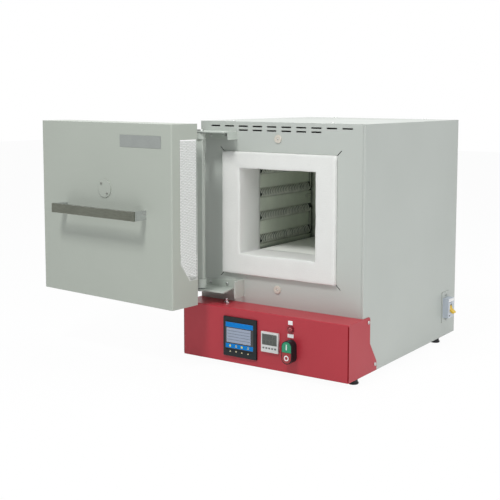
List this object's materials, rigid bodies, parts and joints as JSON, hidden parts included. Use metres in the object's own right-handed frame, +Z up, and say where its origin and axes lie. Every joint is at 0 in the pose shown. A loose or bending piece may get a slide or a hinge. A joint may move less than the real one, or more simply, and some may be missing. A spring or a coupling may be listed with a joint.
{
  "type": "muffle furnace",
  "caption": "Bench muffle furnace: a painted steel case with a heated fibre chamber, a front control console, and a door that swings aside on an arm while staying parallel.",
  "frame": {"origin": "on the bench, in the middle of the front left foot", "axes": "+Z up, the front and the door face -Y, +X is to the right seen from the front"},
  "size_m": [0.8889, 0.7802, 0.5952],
  "materials": {
    "cover_paint": "satin",
    "console_paint": "satin",
    "hinge_paint": "satin",
    "zinc": "satin",
    "bright_steel": "satin",
    "handle_steel": "satin",
    "black_plastic": "satin",
    "pale_plastic": "satin",
    "screen": "gloss",
    "green_button": "satin",
    "red_button": "satin",
    "red_lens": "gloss",
    "yellow_plastic": "satin",
    "rubber": "matte",
    "stop_pad": "matte",
    "fibre": "matte",
    "refractory": "matte",
    "coil_wire": "matte"
  },
  "bodies": {
    "furnace": {"base_tray": "cover_paint", "breaker_bezel": "cover_paint", "breaker_body": "pale_plastic", "button_housing": "black_plastic", "cable_gland": "black_plastic", "collar": "fibre", "console_housing": "console_paint", "console_screws": "zinc", "contactor": "black_plastic", "controller_case": "black_plastic", "controller_display": "screen", "deck_plate": "cover_paint", "door_stops": "stop_pad", "element_tubes": "refractory", "feet": "rubber", "front_panel": "cover_paint", "hearth_plate": "refractory", "heating_coils": "coil_wire", "hinge_bracket_lower": "hinge_paint", "hinge_bracket_upper": "hinge_paint", "hinge_pins": "zinc", "hinge_screws": "zinc", "hinge_washers": "black_plastic", "insulation_blocks": "fibre", "lamp_bezel": "bright_steel", "lamp_lens": "red_lens", "lining_back": "fibre", "lining_floor": "fibre", "lining_left": "fibre", "lining_right": "fibre", "lining_roof": "fibre", "power_relay": "zinc", "rear_panel": "cover_paint", "side_cover_left": "cover_paint", "side_cover_right": "cover_paint", "switch_barrel": "zinc", "thermocouple": "bright_steel", "timer_case": "pale_plastic", "timer_window": "screen", "top_cover": "cover_paint", "top_screws": "zinc"},
    "swing_arm": {"hinge_post": "hinge_paint", "upper_arm": "hinge_paint", "lower_arm": "hinge_paint"},
    "door": {"door_shell": "cover_paint", "screen_left": "cover_paint", "screen_right": "cover_paint", "plug_carrier": "cover_paint", "door_plug": "fibre", "door_hinge_upper": "hinge_paint", "door_hinge_lower": "hinge_paint", "pivot_pins": "zinc", "handle_bar": "handle_steel", "handle_legs": "zinc", "peephole_cap": "zinc"},
    "start_button": {"start_button": "green_button"},
    "stop_button": {"stop_button": "red_button"},
    "breaker_lever": {"breaker_toggle": "yellow_plastic"},
    "door_switch": {"switch_plunger": "bright_steel"}
  },
  "joints": [
    {"name": "arm_swing", "type": "hinge", "parent": "furnace", "child": "swing_arm", "pos_m": [0.018, -0.032, 0.015], "axis": [0, 0, 1], "range_deg": [0, 172.54]},
    {"name": "door_turn", "type": "hinge", "parent": "swing_arm", "child": "door", "pos_m": [-0.17443, -0.08745, 0.015], "axis": [0, 0, 1], "range_deg": [-167.42, 0]},
    {"name": "start_press", "type": "slide", "parent": "furnace", "child": "start_button", "axis": [0, 1, 0], "range_m": [0, 0.0025], "stiffness_N_per_m": 800, "springref_m": -0.001},
    {"name": "stop_press", "type": "slide", "parent": "furnace", "child": "stop_button", "axis": [0, 1, 0], "range_m": [0, 0.0025], "stiffness_N_per_m": 800, "springref_m": -0.001},
    {"name": "breaker_throw", "type": "hinge", "parent": "furnace", "child": "breaker_lever", "pos_m": [0.4595, 0.478, 0.093], "axis": [0, -1, 0], "range_deg": [0, 76]},
    {"name": "switch_press", "type": "slide", "parent": "furnace", "child": "door_switch", "axis": [0, 0, -1], "range_m": [0, 0.0065]}
  ],
  "couplings": [
    {"joint": "door_turn", "follows": "arm_swing", "ratio": -0.97027},
    {"joint": "switch_press", "follows": "arm_swing", "m_per_rad": 0.0021253}
  ]
}
